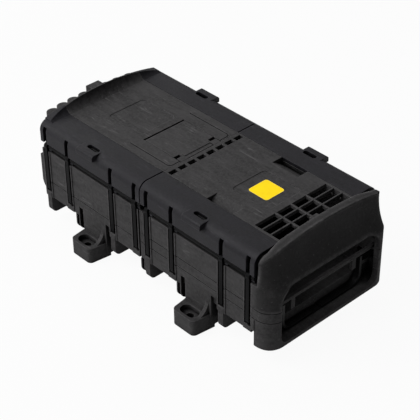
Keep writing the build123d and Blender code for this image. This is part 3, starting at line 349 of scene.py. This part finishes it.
def moulded_plastic(name, colour, roughness, grain_depth, gloss=0.12, wear=1.0, brow=None, cavity=1.0):
    """Injection-moulded black plastic: grain, mottling, smears, scratches, dust, rubbed edges that are
    partly a painted highlight, and painted shade in slots, gaps and grooves.

    Past the place that brow gives along X, the edges are rounder and the colour carries a painted shade
    that darkens the hood's front.
    """
    settings = bpy.context.scene.splice_plastic
    graph = Graph(bpy.data.materials.new(name))

    def lay(under, mark, share, tone):
        """Lays a mark over the colour under it, in a tone of the plastic's own colour."""
        return graph.mix(mark * (share * wear), under, _toned(colour, tone))

    clouds = graph.ramp(graph.noise(CLOUD_SIZE, detail=5.0, roughness=0.6), ((0.35, 0.0), (0.65, 1.0)))
    smears = graph.ramp(graph.noise(SMEAR_SIZE, detail=4.0, roughness=0.65, stretch=SMEAR_STRETCH),
                        ((0.42, 0.0), (0.72, 1.0)))
    threads = abs(graph.noise(STROKE_SIZE, detail=3.0, roughness=0.7, stretch=STROKE_STRETCH) - 0.5)
    strokes = graph.ramp(threads, ((0.0, 1.0), (0.012, 0.0)))
    patches = graph.ramp(graph.noise(PATCH_SIZE, detail=3.0), ((0.52, 0.0), (0.64, 1.0)))
    scratches = strokes * patches
    radius = settings.edge_radius
    if brow is not None:
        brow_shade_and_rounding = graph.along_x(brow, BROW_STEP)
        radius = (brow_shade_and_rounding * settings.brow_rounding + 1.0) * radius
    edges = graph.edge_mask(radius * 1.6)
    scuffs = graph.ramp(graph.noise(SCUFF_SIZE, detail=5.0, roughness=0.7), ((0.4, 0.25), (0.75, 1.0)))
    wear_and_edge_highlight = edges * scuffs
    dust = graph.ramp(graph.noise(SPECK_SIZE, detail=3.0, roughness=0.8), ((0.64, 0.0), (0.72, 1.0)))
    mottle = graph.ramp(graph.noise(MOTTLE_SIZE, detail=4.0, roughness=0.8), ((0.38, 0.0), (0.62, 1.0)))

    tint = graph.mix(clouds, _toned(colour, 0.62), _toned(colour, 1.05))
    tint = lay(tint, mottle, share=0.8, tone=1.6)
    tint = lay(tint, smears, share=0.7, tone=1.9)
    tint = lay(tint, scratches, share=0.7, tone=3.6)
    if brow is not None:
        # Painted shade: the hood's front past the brow is darkened
        tint = graph.mix(brow_shade_and_rounding * 0.6, tint, _toned(colour, 0.3))
    # Rubbed edges made lighter: partly real wear, partly a painted highlight along the edges and the hood's
    # rim
    tint = lay(tint, wear_and_edge_highlight, share=0.85, tone=4.2)
    tint = lay(tint, dust, share=0.45, tone=5.0)

    fine = graph.noise(settings.grain_size, detail=3.0, roughness=0.6)
    broad = graph.noise(WAVE_SIZE, detail=2.0)
    grain = graph.bump(fine, grain_depth, strength=0.8, normal=graph.rounded_normal(radius))
    waved = graph.bump(broad, WAVE_DEPTH, strength=0.35, normal=grain)
    rough = roughness + (clouds - 0.5) * 0.1 + (fine - 0.5) * 0.12 + smears * 0.08 - wear_and_edge_highlight * 0.1
    plastic = graph.principled(Base_Color=tint, Roughness=rough, Normal=waved, Specular_IOR_Level=gloss)
    # Painted shade: slots, gaps and narrow grooves fade to a near-black matt shader, by how shut in they
    # are
    shade = graph.principled(Base_Color=PAINTED_SHADE_BLACK, Roughness=1.0, Specular_IOR_Level=0.02)
    deep_painted_shade = graph.hidden(settings.painted_shade_reach * cavity, ((0.22, 1.0), (0.46, 0.0)))
    crevice_painted_shade = graph.hidden(settings.crevice_shade_reach, ((0.35, 1.0), (0.66, 0.0)))
    return graph.close(graph.blend(graph.greater(deep_painted_shade * 0.94, crevice_painted_shade * 0.85), plastic, shade))


def strap_rubber(name):
    """Matt black elastomer."""
    graph = Graph(bpy.data.materials.new(name))
    clouds = graph.noise(size=0.01, detail=3.0)
    body = graph.mix(clouds, (0.010, 0.010, 0.010), (0.022, 0.022, 0.022))
    grain = graph.bump(graph.noise(size=0.0006, detail=2.0), distance=0.0002)
    return graph.finish(Base_Color=body, Roughness=0.75 + clouds * 0.1, Normal=grain)


def plated_steel(name):
    """Zinc-plated screw steel with turned marks."""
    graph = Graph(bpy.data.materials.new(name))
    clouds = graph.noise(size=0.002, detail=4.0)
    body = graph.mix(clouds, (0.45, 0.46, 0.48), (0.66, 0.66, 0.66))
    marks = graph.bump(graph.noise(size=0.0002, detail=2.0), distance=0.00005)
    return graph.finish(Base_Color=body, Roughness=0.28 + clouds * 0.15, Metallic=1.0, Normal=marks)


def sticker_film(name, colour):
    """Satin printed film, slightly soiled and lighter along its cut edge."""
    graph = Graph(bpy.data.materials.new(name))
    clouds = graph.ramp(graph.noise(size=0.006, detail=4.0), ((0.3, 0.0), (0.7, 1.0)))
    soil = graph.ramp(graph.noise(size=0.0011, detail=4.0, roughness=0.8), ((0.66, 0.0), (0.74, 1.0)))
    edges = graph.edge_mask(radius=0.0004)
    body = graph.mix(clouds, _toned(colour, 0.94), _toned(colour, 1.04))
    soiled = graph.mix(soil * 0.3, body, _toned(colour, 0.45))
    cut = graph.mix(edges * 0.4, soiled, (0.95, 0.86, 0.55))
    paper = graph.bump(graph.noise(size=0.0009, detail=2.0), distance=0.00004)
    return graph.finish(Base_Color=cut, Roughness=0.5 + clouds * 0.1, Normal=paper, Specular_IOR_Level=0.12)


def dress(names, material):
    """Gives CAD nodes their material."""
    for name in names:
        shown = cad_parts[name]
        shown.data.materials.clear()
        shown.data.materials.append(material)


def nodes_like(*starts):
    """Names of the CAD nodes that begin with one of the words."""
    found = [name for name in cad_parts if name.startswith(starts)]
    if not found:
        raise RuntimeError(f"the frame has no node like {starts}")
    return sorted(found)


def new_mesh(name, build):
    """An object whose mesh a builder function draws."""
    mesh = bpy.data.meshes.new(name)
    draft = bmesh.new()
    build(draft)
    bmesh.ops.recalc_face_normals(draft, faces=draft.faces)
    draft.to_mesh(mesh)
    draft.free()
    piece = bpy.data.objects.new(name, mesh)
    bpy.context.scene.collection.objects.link(piece)
    return piece


def rounded_rectangle(width, length, corner, steps=6):
    """Points of a rectangle with round corners, centred on the origin."""
    points = []
    for turn, (sx, sy) in enumerate(((1, 1), (-1, 1), (-1, -1), (1, -1))):
        for step in range(steps + 1):
            angle = math.radians(90 * (turn + step / steps))
            points.append((sx * (width / 2 - corner) + corner * math.cos(angle),
                           sy * (length / 2 - corner) + corner * math.sin(angle)))
    return points


class SPLICEBOX_OT_housing(bpy.types.Operator):
    """Finish the shells, frames, covers and the flap"""

    bl_idname = "splicebox.housing"
    bl_label = "Housing"

    def execute(self, context):
        settings = context.scene.splice_plastic
        shells = moulded_plastic("housing_plastic", settings.housing_colour, 0.72, COARSE_GRAIN)
        dress(nodes_like("base_", "spacer_", "frame_", "cover_far", "end_"), shells)
        # The hood's material carries the painted shade on its brow
        hood = moulded_plastic("hood_plastic", settings.housing_colour, 0.76, COARSE_GRAIN,
                               brow=settings.brow_start)
        dress(nodes_like("cover_near"), hood)
        flap = moulded_plastic("flap_plastic", settings.housing_colour, 0.68, MIDDLE_GRAIN)
        dress(nodes_like("inspection_"), flap)
        return {"FINISHED"}


class SPLICEBOX_OT_strips(bpy.types.Operator):
    """Finish the four hinged side strips"""

    bl_idname = "splicebox.strips"
    bl_label = "Side strips"

    def execute(self, context):
        colour = context.scene.splice_plastic.strip_colour
        strips = moulded_plastic("strip_plastic", colour, 0.5, MIDDLE_GRAIN, gloss=0.13)
        dress(nodes_like("strip_"), strips)
        return {"FINISHED"}


class SPLICEBOX_OT_clamps(bpy.types.Operator):
    """Finish the clamp posts and the hinge rods"""

    bl_idname = "splicebox.clamps"
    bl_label = "Posts and rods"

    def execute(self, context):
        settings = context.scene.splice_plastic
        posts = moulded_plastic("clamp_plastic", settings.clamp_colour, 0.45, POST_GRAIN,
                                gloss=0.04, wear=0.35)
        dress(nodes_like("post_"), posts)
        rods = moulded_plastic("rod_plastic", settings.rod_colour, 0.16, ROD_GRAIN, gloss=0.05, wear=0.0)
        dress(nodes_like("rod_"), rods)
        return {"FINISHED"}


class SPLICEBOX_OT_inside(bpy.types.Operator):
    """Finish what the box holds: cassettes, carrier, comb, saddle, strap and screws"""

    bl_idname = "splicebox.inside"
    bl_label = "Inner parts"

    def execute(self, context):
        settings = context.scene.splice_plastic
        inner = moulded_plastic("inner_plastic", settings.inner_colour, 0.42, SATIN_GRAIN,
                                cavity=INNER_CAVITY)
        dress(nodes_like("carrier_plate", "tie_comb", "cable_saddle"), inner)
        trays = moulded_plastic("tray_plastic", settings.tray_colour, 0.4, TRAY_GRAIN,
                                cavity=INNER_CAVITY)
        dress(nodes_like("cassette_1", "cassette_2", "cassette_3", "cassette_lid"), trays)
        holders = moulded_plastic("holder_plastic", settings.holder_colour, 0.6, SOFT_GRAIN)
        dress(nodes_like("splice_holder"), holders)
        dress(nodes_like("cassette_strap"), strap_rubber("strap_rubber"))
        dress(nodes_like("carrier_screws", "comb_screws"), plated_steel("screw_steel"))
        return {"FINISHED"}


class SPLICEBOX_OT_sticker(bpy.types.Operator):
    """Lay a plain sticker in the label field of the near cover"""

    bl_idname = "splicebox.sticker"
    bl_label = "Sticker"

    # Places along the cover, measured from its end at the middle seam
    label_centre = 0.0605
    label_recess = 0.0004

    def execute(self, context):
        settings = context.scene.splice_sticker
        low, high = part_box("strip_front_near")
        floor_z = high.z - self.label_recess
        middle_x = low.x + self.label_centre
        outline = rounded_rectangle(settings.width, settings.width, settings.corner)

        def build(draft):
            bottom = [draft.verts.new((middle_x + x, y, floor_z)) for x, y in outline]
            face = draft.faces.new(bottom)
            raised = bmesh.ops.extrude_face_region(draft, geom=[face])["geom"]
            top = [item for item in raised if isinstance(item, bmesh.types.BMVert)]
            bmesh.ops.translate(draft, verts=top, vec=(0, 0, settings.thickness))

        sticker = new_mesh("cover_sticker", build)
        sticker.data.materials.append(sticker_film("sticker_film", settings.colour))
        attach(sticker, "box")
        return {"FINISHED"}


class SPLICEBOX_OT_stage(bpy.types.Operator):
    """Set up the floor, the light and the camera"""

    bl_idname = "splicebox.stage"
    bl_label = "Stage"

    def execute(self, context):
        settings = context.scene.splice_stage
        self.floor(settings)
        self.sky(context.scene, settings)
        self.lamp("key_light", *KEY_LAMP, settings.key_power)
        self.lamp("side_light", *SIDE_LAMP, settings.side_power)
        self.lamp("end_light", *END_LAMP, settings.end_power)
        self.camera(context.scene, settings)
        context.scene.view_settings.view_transform = "Standard"
        return {"FINISHED"}

    @staticmethod
    def floor(settings):
        half = settings.floor_size / 2
        corners = ((-half, -half), (half, -half), (half, half), (-half, half))

        def build(draft):
            draft.faces.new([draft.verts.new((x, y, 0.0)) for x, y in corners])

        floor = new_mesh("floor", build)
        graph = Graph(bpy.data.materials.new("floor_paper"))
        clouds = graph.noise(size=0.6, detail=2.0)
        shade = graph.mix(clouds, _toned(settings.floor_colour, 0.99), settings.floor_colour)
        paper = graph.principled(Base_Color=shade, Roughness=0.9, Specular_IOR_Level=0.1)
        white = {"Color": (1.0, 1.0, 1.0, 1.0), "Strength": 1.0}
        backdrop = graph.node("ShaderNodeEmission", None, white)[0]
        rays = graph.node("ShaderNodeLightPath")
        seen = graph.greater(rays["Is Camera Ray"], rays["Is Glossy Ray"])
        seen = graph.greater(seen, rays["Is Transmission Ray"])
        look = graph.blend(seen * settings.floor_whitening, paper, backdrop)
        floor.data.materials.append(graph.close(look))

    @staticmethod
    def sky(scene, settings):
        graph = Graph(bpy.data.worlds.new("studio"))
        direction = graph.node("ShaderNodeTexCoord")["Generated"]
        facing = graph.node("ShaderNodeVectorMath", {"operation": "DOT_PRODUCT"},
                            {0: direction, 1: settings.sky_side})["Value"]
        glow = graph.ramp(facing * 0.5 + 0.5, ((0.33, settings.sky_dim), (0.85, 1.0)))
        light = graph.node("ShaderNodeBackground", None,
                           {"Color": glow, "Strength": settings.sky_strength})[0]
        graph.node("ShaderNodeOutputWorld", None, {"Surface": light})
        scene.world = graph.owner

    @staticmethod
    def lamp(name, place, target, size, power):
        light = bpy.data.lights.new(name, "AREA")
        light.shape = "SQUARE"
        light.size = size
        light.energy = power
        lamp = bpy.data.objects.new(name, light)
        lamp.location = place
        aim = Vector(target) - Vector(place)
        lamp.rotation_euler = aim.to_track_quat("-Z", "Y").to_euler()
        bpy.context.scene.collection.objects.link(lamp)

    @staticmethod
    def camera(scene, settings):
        data = bpy.data.cameras.new("studio_camera")
        data.sensor_width = 36.0
        data.lens = settings.lens
        data.clip_end = 50.0
        camera = bpy.data.objects.new("studio_camera", data)
        camera.location = settings.camera_place
        camera.rotation_euler = settings.camera_turn
        scene.collection.objects.link(camera)
        scene.camera = camera


class SPLICEBOX_PT_panel(bpy.types.Panel):
    """Buttons that dress the splice box, piece by piece"""

    bl_idname = "SPLICEBOX_PT_panel"
    bl_label = "Splice box"
    bl_space_type = "VIEW_3D"
    bl_region_type = "UI"
    bl_category = "Splice box"

    def draw(self, context):
        layout = self.layout
        for operator in OPERATORS:
            layout.operator(operator.bl_idname)
        for group in ("splice_plastic", "splice_sticker", "splice_stage"):
            box = layout.box()
            settings = getattr(context.scene, group)
            for key in settings.__annotations__:
                box.prop(settings, key)


OPERATORS = (
    SPLICEBOX_OT_housing,
    SPLICEBOX_OT_strips,
    SPLICEBOX_OT_clamps,
    SPLICEBOX_OT_inside,
    SPLICEBOX_OT_sticker,
    SPLICEBOX_OT_stage,
)
CLASSES = (PlasticSettings, StickerSettings, StageSettings, *OPERATORS, SPLICEBOX_PT_panel)


def register():
    for item in CLASSES:
        bpy.utils.register_class(item)
    bpy.types.Scene.splice_plastic = PointerProperty(type=PlasticSettings)
    bpy.types.Scene.splice_sticker = PointerProperty(type=StickerSettings)
    bpy.types.Scene.splice_stage = PointerProperty(type=StageSettings)


def unregister():
    del bpy.types.Scene.splice_stage
    del bpy.types.Scene.splice_sticker
    del bpy.types.Scene.splice_plastic
    for item in reversed(CLASSES):
        bpy.utils.unregister_class(item)


def main():
    register()
    bpy.ops.splicebox.housing()
    bpy.ops.splicebox.strips()
    bpy.ops.splicebox.clamps()
    bpy.ops.splicebox.inside()
    bpy.ops.splicebox.sticker()
    bpy.ops.splicebox.stage()


if __name__ == "__main__":
    main()
